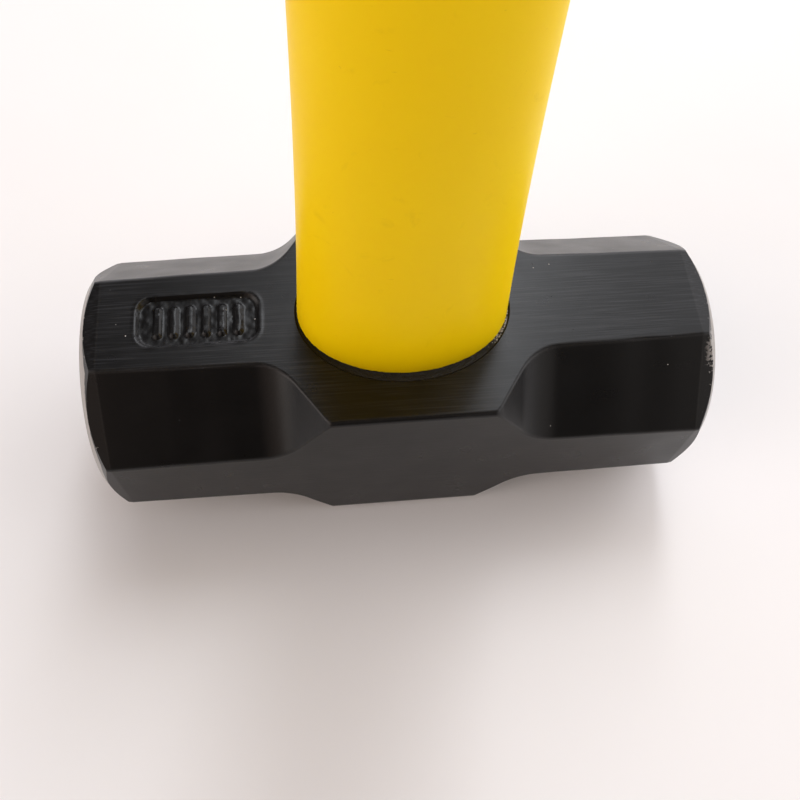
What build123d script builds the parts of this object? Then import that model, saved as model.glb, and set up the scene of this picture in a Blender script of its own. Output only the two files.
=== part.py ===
from build123d import *
import math
import os

# A sledgehammer standing on the crown side of its head, with its handle straight up.
# X runs along the head from one striking face to the other, Y from cheek to cheek, and
# Z up the handle. The origin is on the ground, under the middle of the eye.
# Every size is in millimetres.

# Head: a nearly square bar whose corners are cut away towards both ends
HEAD_HEIGHT = 55.5          # crown side to handle side
HEAD_WIDTH = 57.0           # cheek to cheek
HEAD_LENGTH = 147.8         # crest of one striking face to crest of the other
CORNER_ROUND = 1.2          # rounding of the bar's two long corners on the handle side
CROWN_CORNER_ROUND = 3.2    # and of the two on the crown side
RAMP_START = 18.0           # from the middle to where the corner cut begins
RAMP_ANGLE = 46.0           # steepness of the cut's run-in, in degrees
RAMP_RADIUS = 13.0          # hollow where the run-in meets the chamfer
CHAMFER_LEG_AT_RAMP = 16.0  # chamfer's width on the faces, at the foot of the run-in
CHAMFER_LEG_AT_RIM = 16.9   # and at the rim

# Ends of the head
RIM_START = 68.5            # from the middle to where the octagon starts to draw in
RIM_DRAW = 0.15             # how much each flat draws in, per millimetre of length
FACE_RADIUS = 25.9          # edge of the striking face
FACE_CROWN = 1.1            # rise of the crowned face at its middle
FACE_BEVEL_ANGLE = 52.5     # ground bevel round the face, from the head's axis, in degrees

# Weight mark: a sunk panel with six raised bars, one for each pound
PANEL_LENGTH = 27.2
PANEL_WIDTH = 12.6
PANEL_CORNER = 3.6
PANEL_DEPTH = 0.9
PANEL_CENTRE = -46.4
BAR_COUNT = 6
BAR_PITCH = 3.6
BAR_WIDTH = 1.5
BAR_LENGTH = 7.6
BAR_RISE = 0.6

# Eye: an oval hole through the head, narrowest half way
EYE_MOUTH = (22.4, 16.8)    # half sizes along X and Y, under the mouth's chamfer
EYE_WAIST = (20.6, 15.0)
EYE_CHAMFER = (24.8, 19.2)  # outer edge of the chamfer, on the head's surface
EYE_CHAMFER_DEPTH = 2.6

# Handle
OVERALL_HEIGHT = 813.0
ROD_RADIUS = 9.5
ROD_RECESS = 0.8            # rod and resin end this far inside the crown side
SHOULDER = (24.1, 16.8)     # half sizes of the jacket where it enters the head
SHOULDER_TUCK = 1.4         # how far the jacket's rim turns in under the surface
SPIGOT = (20.2, 14.2)       # part of the jacket inside the eye
SPIGOT_DEPTH = 14.0
SHAFT = (19.4, 13.4)        # half sizes along the slim part
FLARE_HEIGHT = 141.0        # from the head to where the shaft is slim
FLARE_STEPS = 6
SEAL_DEPTH = 3.2            # sealing putty round the jacket, in the eye's mouth
SEAL_RECESS = 0.45

# Grip
GRIP_LENGTH = 176.0
GRIP_END_WALL = 28.0        # solid rubber past the jacket's end
GRIP_SEAT = (16.6, 10.8)    # half sizes of the jacket inside the sleeve
GRIP_BODY = (20.4, 14.4)
GRIP_COLLAR = (21.6, 15.6)
GRIP_COLLAR_LENGTH = 9.0
POMMEL = (24.0, 18.0)
POMMEL_LENGTH = 36.0        # flare included
POMMEL_STRAIGHT = 20.0      # its full-width part
POMMEL_ROUND = 5.0
HANG_HOLE_RADIUS = 4.5
HANG_HOLE_FROM_END = 12.0
ROD_END_COVER = 7.0         # jacket material over the rod's end

CLEAR = 30.0                # how far a cutting shape stands past what it cuts
GRIP_START = OVERALL_HEIGHT - GRIP_LENGTH
JACKET_END = OVERALL_HEIGHT - GRIP_END_WALL


def oval(half_sizes, height):
    """An upright oval face, centred on the handle."""
    return Pos(0, 0, height) * Ellipse(half_sizes[0], half_sizes[1])


def oval_tube(stations):
    """A solid through ovals, each given as (height, half sizes), with straight sides between."""
    return loft([oval(size, height) for height, size in stations], ruled=True)


def corner_cutter():
    """What is cut from one long corner of the bar, towards one end."""
    steep = math.tan(math.radians(RAMP_ANGLE))
    foot_depth = CHAMFER_LEG_AT_RAMP / math.sqrt(2)
    rim_depth = CHAMFER_LEG_AT_RIM / math.sqrt(2)
    foot_x = RAMP_START + foot_depth / steep
    end_x = HEAD_LENGTH / 2 + CLEAR
    growth = (rim_depth - foot_depth) / (RIM_START - foot_x)
    end_depth = rim_depth + growth * (end_x - RIM_START)
    corner = Plane(
        origin=(0, -HEAD_WIDTH / 2, HEAD_HEIGHT),
        x_dir=(1, 0, 0),
        z_dir=(0, 1, 1),
    )
    # The plane's own Y axis points out of the corner, so depth is measured downwards
    inward = -1 if corner.y_dir.Z > 0 else 1
    outline = Polygon(
        (RAMP_START - CLEAR / steep, -inward * CLEAR),
        (foot_x, inward * foot_depth),
        (end_x, inward * end_depth),
        (end_x, -inward * CLEAR),
        align=None,
    )
    foot = outline.vertices().sort_by_distance((foot_x, inward * foot_depth, 0))[0]
    profile = fillet(foot, RAMP_RADIUS)
    return extrude(corner * profile, amount=CLEAR, both=True)


def octagon(inset):
    """The head's outline at the rim, with every side moved in by inset."""
    across = HEAD_WIDTH / 2 - inset
    up = HEAD_HEIGHT / 2 - inset
    leg = CHAMFER_LEG_AT_RIM - (2 - math.sqrt(2)) * inset
    return Polygon(
        (across, up - leg),
        (across - leg, up),
        (-across + leg, up),
        (-across, up - leg),
        (-across, -up + leg),
        (-across + leg, -up),
        (across - leg, -up),
        (across, -up + leg),
        align=None,
    )


def rim_envelope():
    """A block that stands clear of the bar, except past RIM_START, where its ends draw in."""
    near_x = RIM_START - CLEAR / 2
    far_x = HEAD_LENGTH / 2 + CLEAR
    sections = []
    for x in (near_x, far_x):
        station = Plane(
            origin=(x, 0, HEAD_HEIGHT / 2),
            x_dir=(0, 1, 0),
            z_dir=(1, 0, 0),
        )
        sections.append(station * octagon(RIM_DRAW * (x - RIM_START)))
    end = loft(sections, ruled=True)
    side = HEAD_WIDTH + CLEAR
    block = Pos(0, 0, HEAD_HEIGHT / 2) * Box(2 * near_x, side, side)
    return block + end + mirror(end, about=Plane.YZ)


def face_grinding():
    """The round solid that both ends are ground to: crowned faces inside a bevel."""
    crest = HEAD_LENGTH / 2
    edge = crest - FACE_CROWN
    outer = FACE_RADIUS + CLEAR
    back = edge - CLEAR / math.tan(math.radians(FACE_BEVEL_ANGLE))
    crown_radius = (FACE_RADIUS**2 + FACE_CROWN**2) / (2 * FACE_CROWN)
    outline = [
        Line((-crest, 0), (crest, 0)),
        RadiusArc((crest, 0), (edge, FACE_RADIUS), -crown_radius),
        Line((edge, FACE_RADIUS), (back, outer)),
        Line((back, outer), (-back, outer)),
        Line((-back, outer), (-edge, FACE_RADIUS)),
        RadiusArc((-edge, FACE_RADIUS), (-crest, 0), -crown_radius),
    ]
    return Pos(0, 0, HEAD_HEIGHT / 2) * revolve(make_face(outline), Axis.X)


def eye_hollow():
    """The eye's own shape, from mouth to mouth and a little past both."""
    slope = [(c - m) / EYE_CHAMFER_DEPTH for c, m in zip(EYE_CHAMFER, EYE_MOUTH)]
    past = [c + s for c, s in zip(EYE_CHAMFER, slope)]
    return oval_tube(
        [
            (-1, past),
            (EYE_CHAMFER_DEPTH, EYE_MOUTH),
            (HEAD_HEIGHT / 2, EYE_WAIST),
            (HEAD_HEIGHT - EYE_CHAMFER_DEPTH, EYE_MOUTH),
            (HEAD_HEIGHT + 1, past),
        ]
    )


def weight_panel():
    """The sunk panel's hollow, less the bars that stand in it."""
    floor = Pos(PANEL_CENTRE, 0, HEAD_HEIGHT - PANEL_DEPTH)
    hollow = extrude(floor * RectangleRounded(PANEL_LENGTH, PANEL_WIDTH, PANEL_CORNER), 2)
    for i in range(BAR_COUNT):
        along = (i - (BAR_COUNT - 1) / 2) * BAR_PITCH
        mark = floor * Pos(along, 0) * RectangleRounded(BAR_WIDTH, BAR_LENGTH, BAR_WIDTH / 2.2)
        hollow -= extrude(mark, BAR_RISE)
    return hollow


def head():
    bar = Pos(0, 0, HEAD_HEIGHT / 2) * Box(HEAD_LENGTH, HEAD_WIDTH, HEAD_HEIGHT)
    bar = fillet(bar.edges().filter_by(Axis.X).group_by(Axis.Z)[0], CROWN_CORNER_ROUND)
    bar = fillet(bar.edges().filter_by(Axis.X).group_by(Axis.Z)[-1], CORNER_ROUND)
    cutter = corner_cutter()
    middle = Plane.XY.offset(HEAD_HEIGHT / 2)
    for cut in (cutter, mirror(cutter, about=Plane.XZ)):
        for half in (cut, mirror(cut, about=middle)):
            bar = bar - half - mirror(half, about=Plane.YZ)
    return (bar & rim_envelope() & face_grinding()) - eye_hollow() - weight_panel()


def core_rod():
    """Pultruded glass-fibre rod, from the crown side of the head into the grip."""
    top = JACKET_END - ROD_END_COVER
    return Pos(0, 0, ROD_RECESS) * extrude(Circle(ROD_RADIUS), top - ROD_RECESS)


def flare_stations():
    """Ovals from the shoulder to the slim shaft: the taper eases out to nothing."""
    stations = []
    for i in range(FLARE_STEPS + 1):
        share = i / FLARE_STEPS
        keep = (1 - share) ** 2
        size = [slim + keep * (wide - slim) for wide, slim in zip(SHOULDER, SHAFT)]
        stations.append((HEAD_HEIGHT + share * FLARE_HEIGHT, size))
    return stations


def handle_blank():
    """The jacket's outside as one solid: spigot, flared shoulder, shaft and grip seat."""
    shoulder_low = HEAD_HEIGHT - SHOULDER_TUCK
    spigot_low = HEAD_HEIGHT - SPIGOT_DEPTH
    flare = flare_stations()
    flare_top = flare[-1][0]
    spigot = oval_tube([(spigot_low, SPIGOT), (shoulder_low, SPIGOT)])
    rim = loft([oval([s - 1.0 for s in SHOULDER], shoulder_low), oval(SHOULDER, HEAD_HEIGHT)])
    swell = loft([oval(size, height) for height, size in flare])
    shaft = oval_tube([(flare_top, SHAFT), (GRIP_START, SHAFT)])
    seat = oval_tube([(GRIP_START, GRIP_SEAT), (JACKET_END, GRIP_SEAT)])
    return spigot + rim + swell + shaft + seat


def handle_jacket():
    """The jacket as moulded, with the rod's bore closed at the hand end."""
    return handle_blank() - core_rod()


def eye_layer(low, high):
    """The stretch of the eye's hollow between two heights."""
    slab = Pos(0, 0, (low + high) / 2) * Box(2 * CLEAR, 2 * CLEAR, high - low)
    return eye_hollow() & slab


def eye_seal():
    """Sealing putty that closes the eye's mouth round the jacket."""
    return eye_layer(HEAD_HEIGHT - SEAL_DEPTH, HEAD_HEIGHT - SEAL_RECESS) - handle_blank()


def epoxy_fill():
    """Cast resin that fills the rest of the eye round the rod and the spigot."""
    return eye_layer(ROD_RECESS, HEAD_HEIGHT - SEAL_DEPTH) - handle_blank() - core_rod()


def grip_sleeve():
    """Rubber sleeve over the hand end: a collar, a slim body and a pommel with a hanging hole."""
    collar_top = GRIP_START + GRIP_COLLAR_LENGTH
    pommel_low = OVERALL_HEIGHT - POMMEL_LENGTH
    collar = oval_tube([(GRIP_START, GRIP_COLLAR), (collar_top, GRIP_COLLAR)])
    body = oval_tube([(collar_top, GRIP_BODY), (pommel_low, GRIP_BODY)])
    pommel_full = OVERALL_HEIGHT - POMMEL_STRAIGHT
    pommel = oval_tube(
        [(pommel_low, GRIP_BODY), (pommel_full, POMMEL), (OVERALL_HEIGHT, POMMEL)]
    )
    pommel = fillet(pommel.edges().group_by(Axis.Z)[-1], POMMEL_ROUND)
    hole = Pos(0, 0, OVERALL_HEIGHT - HANG_HOLE_FROM_END) * Rot(90, 0, 0) * Cylinder(
        HANG_HOLE_RADIUS, 2 * CLEAR
    )
    return collar + body + pommel - handle_blank() - hole


def main():
    os.makedirs("parts", exist_ok=True)
    pieces = {
        "head": head(),
        "core_rod": core_rod(),
        "handle_jacket": handle_jacket(),
        "eye_seal": eye_seal(),
        "epoxy_fill": epoxy_fill(),
        "grip_sleeve": grip_sleeve(),
    }
    for name, shape in pieces.items():
        print(name, round(shape.volume / 1000, 2), "cm3")
        export_step(shape, f"parts/{name}.step")


main()
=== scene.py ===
import math
from functools import partial

import bmesh
import bpy
import numpy as np
from mathutils import Matrix, Vector, noise


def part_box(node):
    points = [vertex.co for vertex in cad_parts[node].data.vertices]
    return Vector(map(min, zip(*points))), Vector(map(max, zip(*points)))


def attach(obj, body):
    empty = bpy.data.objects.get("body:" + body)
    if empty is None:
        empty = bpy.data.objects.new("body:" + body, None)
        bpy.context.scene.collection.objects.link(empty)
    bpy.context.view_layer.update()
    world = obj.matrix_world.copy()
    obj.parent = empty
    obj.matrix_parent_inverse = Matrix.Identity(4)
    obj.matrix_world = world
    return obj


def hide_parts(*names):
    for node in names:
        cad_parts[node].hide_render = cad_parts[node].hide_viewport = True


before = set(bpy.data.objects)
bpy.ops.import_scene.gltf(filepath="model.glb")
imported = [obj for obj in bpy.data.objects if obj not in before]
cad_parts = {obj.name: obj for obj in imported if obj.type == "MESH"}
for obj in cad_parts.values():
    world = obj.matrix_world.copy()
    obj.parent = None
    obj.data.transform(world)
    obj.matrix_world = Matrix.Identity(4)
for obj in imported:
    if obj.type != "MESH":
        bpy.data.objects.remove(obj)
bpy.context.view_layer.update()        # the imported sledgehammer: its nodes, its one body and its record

bl_info = {
    "name": "Sledgehammer",
    "version": (1, 0, 0),
    "blender": (4, 5, 0),
    "location": "3D View > Sidebar > Sledgehammer",
    "description": "Builds a long-handled sledgehammer round its packed frame",
    "category": "Add Mesh",
}

MM = 0.001
BODY = "root"
HEAD_LOW, HEAD_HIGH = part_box("head")
JACKET_LOW, JACKET_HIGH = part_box("handle_jacket")
GRIP_LOW, GRIP_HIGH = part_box("grip_sleeve")
SEAL_LOW, SEAL_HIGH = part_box("eye_seal")
HEAD_TOP = HEAD_HIGH.z
HEAD_HALF = (HEAD_HIGH - HEAD_LOW) / 2
HEAD_MIDDLE = (HEAD_HIGH + HEAD_LOW) / 2


def srgb(code):
    """Linear colour, with alpha, from an sRGB hex value."""
    channels = [int(code[i : i + 2], 16) / 255 for i in (1, 3, 5)]
    linear = [c / 12.92 if c <= 0.04045 else ((c + 0.055) / 1.055) ** 2.4 for c in channels]
    return (*linear, 1.0)


def length(name, description, millimetres):
    """A size that a user can change, kept in metres."""
    return bpy.props.FloatProperty(
        name=name, description=description, default=millimetres * MM, unit="LENGTH", min=0.0
    )


def angle(name, description, degrees):
    """An angle that a user can change, kept in radians."""
    return bpy.props.FloatProperty(
        name=name, description=description, default=math.radians(degrees), subtype="ANGLE"
    )


def spot(name, description, millimetres):
    """A place on the object that a user can change, in millimetres."""
    return bpy.props.FloatVectorProperty(name=name, description=description, default=millimetres)


def colour(name, description, code):
    """A colour that a user can change."""
    return bpy.props.FloatVectorProperty(
        name=name, description=description, default=srgb(code), subtype="COLOR", size=4
    )


class HeadSettings(bpy.types.PropertyGroup):
    ramp_start: length("Ramp start", "From the middle to where the corner cut begins", 18.0)
    ramp_angle: angle("Ramp angle", "Steepness of the corner cut's run-in", 46.0)
    ramp_radius: length("Ramp radius", "Hollow where the run-in meets the chamfer", 13.0)
    ramp_ease: length("Ramp ease", "Soft start of the run-in, either side of where it begins", 1.8)
    leg_at_ramp: length("Chamfer at the ramp", "Chamfer's width on the faces, by the eye", 16.0)
    leg_at_rim: length("Chamfer at the rim", "Chamfer's width on the faces, at the rim", 16.9)
    rim_start: length("Rim start", "From the middle to where the octagon draws in", 68.5)
    face_radius: length("Face radius", "Edge of the striking face", 25.9)
    face_crown: length("Face crown", "Rise of the striking face at its middle", 1.1)
    edge_round: length("Edge round", "Softness of the facets' edges", 1.4)
    corner_round: length("Corner round", "Softness of the handle side's square corners", 1.2)
    crown_round: length("Crown corner round", "Softness of the crown side's square corners", 3.2)
    panel_centre: length("Panel place", "From the eye's middle to the weight panel's", 46.4)
    panel_length: length("Panel length", "Length of the sunk weight panel", 27.2)
    panel_width: length("Panel width", "Width of the sunk weight panel", 12.6)
    panel_depth: length("Panel depth", "Depth of the sunk weight panel", 0.9)
    lacquer: colour("Lacquer", "Black lacquer over the forged steel", "#0D0C0C")
    lacquer_thin: colour("Lacquer, thin", "Lacquer over the ridges the belt left", "#262628")
    dust: colour("Dust", "Specks and worn edges in the lacquer", "#B4B0AC")
    steel: colour("Steel", "Bare ground steel", "#BBB6B1")
    steel_dark: colour("Steel, dark", "Darker marks of the grinding", "#8E8883")
    knock_place: spot("Knocked place", "Middle of the chipped stretch of rim", (71.0, -12.5, 50.0))


class HandleSettings(bpy.types.PropertyGroup):
    shoulder_x: length("Shoulder width", "Half size where the jacket enters the head, X", 24.1)
    shoulder_y: length("Shoulder depth", "Half size where the jacket enters the head, Y", 16.8)
    shaft_x: length("Shaft width", "Half size of the slim part, X", 19.4)
    flare: length("Flare", "From the head to where the shaft is slim", 141.0)
    tuck: length("Rim tuck", "How far the jacket's lower rim sits under the surface", 1.4)
    tuck_low: length("Tuck depth", "How far under the head's surface the rim starts", 1.0)
    around: bpy.props.IntProperty(name="Around", description="Faces round the handle", default=240)
    unevenness: length("Unevenness", "Lumps of the jacket's rim", 0.34)
    parting: length("Parting line", "Height of the mould's parting line", 0.08)
    plastic: colour("Plastic", "Yellow of the moulded jacket", "#FFD800")
    plastic_deep: colour("Plastic, deep", "Yellow where the wall is thicker", "#FCD000")
    plastic_soil: colour("Soil", "Handling marks on the plastic", "#B98A12")
    putty: colour("Putty", "Sealing putty in the eye's mouth", "#0B0908")
    grit: colour("Grit", "Grains in the putty", "#B0ACA6")
    resin: colour("Resin", "Cast resin in the eye", "#6B5A34")
    resin_dark: colour("Resin, dark", "Darker clouds in the resin", "#3D3220")
    fibre: colour("Fibre", "Glass fibre of the core rod", "#D8D2B4")
    fibre_dark: colour("Fibre, dark", "Resin between the rod's strands", "#A39A72")
    # the putty's pale grains crowd round this place as a painted glint
    glint_place: spot("Gritty place", "Where the putty's grains show most", (24.0, -6.0, 55.0))


class GripSettings(bpy.types.PropertyGroup):
    half_x: length("Grip width", "Half size of the sleeve's body, X", 20.2)
    half_y: length("Grip depth", "Half size of the sleeve's body, Y", 14.2)
    collar: length("Collar", "Length of the thicker collar at the sleeve's lower end", 9.0)
    collar_out: length("Collar's rise", "How far the collar stands out from the body", 1.4)
    pommel: length("Pommel", "Length of the flared end", 36.0)
    end_wall: length("End wall", "Rubber past the end of the jacket", 28.0)
    corner: length("Corner", "Rounding of the sleeve's last edge", 5.0)
    hole: length("Hanging hole", "Radius of the hole through the pommel", 4.5)
    hole_from_end: length("Hole's place", "From the end to the hole's middle", 12.0)
    row_pitch: length("Row pitch", "From one row of lozenges to the next", 4.1)
    row_pairs: bpy.props.IntProperty(name="Row pairs", description="Pairs of rows", default=14)
    around: bpy.props.IntProperty(name="Around", description="Lozenges in a row", default=17)
    lozenge_x: length("Lozenge width", "Across one lozenge", 5.4)
    lozenge_z: length("Lozenge height", "Along one lozenge", 6.8)
    rise: length("Lozenge rise", "How far a lozenge stands out", 0.8)
    rubber: colour("Rubber", "Black of the grip sleeve", "#1A1A1B")
    rubber_dust: colour("Rubber, dusty", "Dust in the rubber's skin", "#3B3A39")


class StageSettings(bpy.types.PropertyGroup):
    azimuth: angle("Azimuth", "Camera's turn about the handle", 10.29)
    elevation: angle("Elevation", "Camera's height above the ground, as an angle", 64.21)
    roll: angle("Roll", "Camera's turn about its own view", 5.49)
    distance: length("Distance", "From the camera to the point it aims at", 217.2)
    aim_x: bpy.props.FloatProperty(
        name="Aim X", description="Aim from the head's middle", default=-0.43 * MM, unit="LENGTH"
    )
    aim_y: bpy.props.FloatProperty(
        name="Aim Y", description="Aim from the head's middle", default=-10.26 * MM, unit="LENGTH"
    )
    lens: bpy.props.FloatProperty(
        name="Lens", description="Focal length in millimetres on a 36 mm sensor", default=38.615
    )
    ground: colour("Ground", "Pale board that the hammer stands on", "#F2EFEE")
    ground_shade: colour("Ground, shade", "Faint clouds in the board", "#EEEBE9")
    key_azimuth: angle("Key azimuth", "Main light's direction, from +Y towards +X", 15.0)
    key_elevation: angle("Key elevation", "Main light's height, as an angle", 50.0)
    key_width: length("Key width", "Width of the main light's panel", 240.0)
    key_height: length("Key height", "Height of the main light's panel", 850.0)
    key_distance: length("Key distance", "From the head to the main light", 1150.0)
    key_power: bpy.props.FloatProperty(
        name="Key power", description="Main light's power", default=4.7, unit="POWER"
    )
    key_colour: colour("Key colour", "Colour of the main light", "#F6FAFF")


def feed(node, inputs):
    """Fills a node's sockets: with a value, or with a link from an output or a node's result."""
    for key, value in inputs.items():
        if isinstance(value, bpy.types.Node):
            value = next(output for output in value.outputs if output.enabled)
        if isinstance(value, bpy.types.NodeSocket):
            node.id_data.links.new(value, node.inputs[key])
        else:
            node.inputs[key].default_value = value


def add_node(tree, kind, inputs=None, **settings):
    """Adds one node: settings are its fields, and inputs feed its sockets."""
    made = tree.nodes.new(kind)
    for field, value in settings.items():
        setattr(made, field, value)
    feed(made, inputs or {})
    return made


def new_object(name, data):
    """Puts a new object in the scene."""
    made = bpy.data.objects.new(name, data)
    bpy.context.scene.collection.objects.link(made)
    return made


def new_material(name):
    """A material, its tree, its surface shader and the place on the object in millimetres."""
    material = bpy.data.materials.new(name)
    material.use_nodes = True
    tree = material.node_tree
    surface = tree.nodes["Principled BSDF"]
    metres = add_node(tree, "ShaderNodeTexCoord").outputs["Object"]
    place = add_node(tree, "ShaderNodeVectorMath", {0: metres, "Scale": 1000.0}, operation="SCALE")
    return material, partial(add_node, tree), surface, place


# ---------------------------------------------------------------- head


def ramp_depth(x, s):
    """How deep the corner cut is along the diagonal, at distances x from the middle."""
    angle = s.ramp_angle
    foot_depth = s.leg_at_ramp / math.sqrt(2)
    rim_depth = s.leg_at_rim / math.sqrt(2)
    foot = s.ramp_start + foot_depth / math.tan(angle)
    growth = (rim_depth - foot_depth) / (s.rim_start - foot)
    flat_angle = math.atan(growth)
    reach = s.ramp_radius * math.tan((angle - flat_angle) / 2)
    centre_x = foot - reach * math.cos(angle) + s.ramp_radius * math.sin(angle)
    centre_d = foot_depth - reach * math.sin(angle) - s.ramp_radius * math.cos(angle)
    past_start = x - s.ramp_start
    eased = np.clip(past_start + s.ramp_ease, 0, None) ** 2 / (4 * s.ramp_ease)
    on_ramp = np.where(past_start < s.ramp_ease, eased, past_start) * math.tan(angle)
    on_flat = foot_depth + growth * (x - foot)
    across = np.clip(x - centre_x, -s.ramp_radius, s.ramp_radius)
    on_arc = centre_d + np.sqrt(s.ramp_radius**2 - across**2)
    depth = np.where(x < foot - reach * math.cos(angle), on_ramp, on_arc)
    return np.where(x > foot + reach * math.cos(flat_angle), on_flat, depth)


def wander(x, seed, step):
    """Slow noise along x, from -1 to 1."""
    return np.array([noise.noise(Vector((v / step, seed * 7.3, 1.7))) for v in x])


EDGE_ZERO = 10.0                                 # value of past_edge on the ground line
SIDE_STEPS = (60, 14, 16, 14, 24, 14, 16, 14)   # spans on each side, from the handle side round
ARC_STEPS = 4
HEM = 0.22 * MM                                  # short span beside each rounded edge
FULL_ROUND_LEG = 2 - math.sqrt(2)                # chamfer leg, over radius, that is all rounding
MIDDLE_STEP = 1.6 * MM                           # between sections: by the eye,
RAMP_STEP = 0.55 * MM                            # at the ramps,
PANEL_STEP = 0.32 * MM                           # at the weight panel
PLAIN_STEP = 1.3 * MM                            # and elsewhere
RAMP_END = 35 * MM                               # where the close sections of a ramp stop
PANEL_CORNER = 3.6 * MM
PANEL_WALL = 0.9 * MM                            # width of the panel's sloping wall
PANEL_ROOM = 17 * MM                             # relief is worked out this far from its middle
BARS = 6
BAR_PITCH = 3.6 * MM
BAR_REACH = 3.1 * MM                             # half a bar's straight length
BAR_RADIUS = 1.2 * MM
BAR_SLOPE = 0.75 * MM
BAR_RISE = 0.66 * MM
BEVEL_ANGLE = 52.5                               # of the ground bevel, in degrees
RIM_DRAW = 0.15                                  # how fast the octagon draws in past the rim


def head_section(half_y, half_z, legs, rounds):
    """Points round the head at one station: eight sides with rounded edges between them."""
    y, z = half_y, half_z
    a, b, c, d = legs
    corners = [
        (y - a, z), (y, z - a), (y, -z + b), (y - b, -z),
        (-y + c, -z), (-y, -z + c), (-y, z - d), (-y + d, z),
    ]
    points = []
    for k in range(8):
        turn = math.radians(45 * k)
        along = np.array((math.cos(turn), -math.sin(turn)))
        start = np.array(corners[k - 1]) + along * rounds[k - 1] * math.tan(math.pi / 8)
        stop = np.array(corners[k]) - along * rounds[k] * math.tan(math.pi / 8)
        width = float(np.dot(stop - start, along))
        hem = min(HEM, width / 4)
        inner = np.linspace(hem, width - hem, SIDE_STEPS[k] - 1)
        for t in (0.0, *inner, width):
            points.append(start + along * t)
        normal = np.array((math.sin(turn), math.cos(turn)))
        centre = stop - rounds[k] * normal
        for i in range(1, ARC_STEPS):
            phi = turn + math.radians(45 * i / ARC_STEPS)
            points.append(centre + rounds[k] * np.array((math.sin(phi), math.cos(phi))))
    return np.array(points)


def head_stations(s):
    """Places along the head for its sections: close together at the ramps and the panel."""
    fine_from = s.panel_centre - s.panel_length / 2 - 1.5 * MM
    fine_to = s.panel_centre + s.panel_length / 2 + 1.5 * MM
    middle = np.arange(0, s.ramp_start - s.ramp_ease - 0.5 * MM, MIDDLE_STEP)
    kink = s.ramp_start + np.linspace(-s.ramp_ease, s.ramp_ease, 11)
    ramp = np.arange(s.ramp_start + s.ramp_ease + 0.4 * MM, RAMP_END, RAMP_STEP)
    plain = np.arange(RAMP_END, s.rim_start - 0.5 * MM, PLAIN_STEP)
    fine = np.arange(fine_from, fine_to, PANEL_STEP)
    tail = np.arange(fine_to, s.rim_start - 0.5 * MM, PLAIN_STEP)
    rim = s.rim_start + np.array((-0.4, 0.0)) * MM
    right = np.concatenate((middle, kink, ramp, plain, rim))
    left_ramp = ramp[ramp < fine_from]
    left = np.concatenate((middle[1:], kink, left_ramp, fine, tail, rim))
    return np.unique(np.round(np.concatenate((-left, right)), 7))


def panel_relief(x, y, s):
    """Height of the sunk weight panel, with its six raised bars, over the facet's plane."""
    px = x + s.panel_centre
    half = np.array((s.panel_length / 2, s.panel_width / 2))
    qx = np.abs(px) - half[0] + PANEL_CORNER
    qy = np.abs(y) - half[1] + PANEL_CORNER
    edge = np.hypot(np.maximum(qx, 0), np.maximum(qy, 0)) + np.minimum(np.maximum(qx, qy), 0)
    inside = PANEL_CORNER - edge
    wall = np.clip(inside / PANEL_WALL + 0.3, 0, 1)
    sunk = wall * wall * (3 - 2 * wall)
    lip = np.exp(-(((inside + 0.5 * MM) / (0.4 * MM)) ** 2))
    height = -s.panel_depth * sunk
    for i in range(BARS):
        bx = np.abs(px - (i - (BARS - 1) / 2) * BAR_PITCH)
        by = np.maximum(np.abs(y) - BAR_REACH, 0)
        rise = np.clip((BAR_RADIUS - np.hypot(bx, by)) / BAR_SLOPE, 0, 1)
        height += BAR_RISE * rise * rise * (3 - 2 * rise)
    spots = list(zip(px / MM, y / MM))
    rough = np.array([noise.fractal(Vector((a / 1.5, b / 1.5, 4.2)), 0.8, 2.0, 4) for a, b in spots])
    pushed = np.array([noise.noise(Vector((a / 3, b / 3, 8.6))) for a, b in spots])
    return height + sunk * 0.09 * MM * rough + lip * (0.06 + 0.08 * pushed) * MM


def head_rows(s):
    """Every ring of points along the head, from one striking face's middle to the other's."""
    stations = head_stations(s)
    depth = np.maximum(ramp_depth(np.abs(stations), s), 0)
    corner_rounds = (s.corner_round, s.crown_round, s.crown_round, s.corner_round)
    legs = []
    for k, corner in enumerate(corner_rounds):
        ragged = 0.22 * MM * wander(stations / MM, k + 1, 9.0)
        share = np.clip(depth / (3 * MM), 0, 1)
        legs.append(np.maximum(depth * math.sqrt(2) + share * ragged, FULL_ROUND_LEG * corner))
    rings = []
    for i in range(len(stations)):
        rounds = []
        for leg, corner in zip(legs, corner_rounds):
            eased = min(1, max(0, leg[i] / corner - FULL_ROUND_LEG) / 2)
            soft = corner + (s.edge_round - corner) * eased
            rounds += [min(soft, leg[i] / FULL_ROUND_LEG)] * 2
        four = [leg[i] for leg in legs]
        rings.append(head_section(HEAD_HALF.y, HEAD_HALF.z, four, rounds))
    return stations, rings


def end_rows(ring, s):
    """Rows past the rim: the drawn-in octagon, the ground bevel and the crowned face."""
    edge = HEAD_HALF.x - s.face_crown
    steep = math.tan(math.radians(BEVEL_ANGLE))
    draw = RIM_DRAW / HEAD_HALF.z
    radius = np.hypot(ring[:, 0], ring[:, 1])
    unit = ring / radius[:, None]
    meet = (s.face_radius + steep * edge - radius - radius * draw * s.rim_start) / (
        steep - radius * draw
    )
    rows = []
    for share in (0.12, 0.3, 0.5, 0.7, 0.86, 0.94, 1.0):
        x = s.rim_start + share * (meet - s.rim_start)
        rows.append((x, unit * (radius * (1 - draw * (x - s.rim_start)))[:, None]))
    for share in (0.06, 0.15, 0.4, 0.7, 0.88, 0.95, 1.0):
        x = meet + share * (edge - meet)
        rows.append((x, unit * (s.face_radius + steep * (edge - x))[:, None]))
    for share in (0.99, 0.97, 0.93, 0.85, 0.7, 0.55, 0.4, 0.25, 0.12, 0.04):
        x = np.full(len(ring), edge + s.face_crown * (1 - share**2))
        rows.append((x, unit * s.face_radius * share))
    return rows, meet


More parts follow.
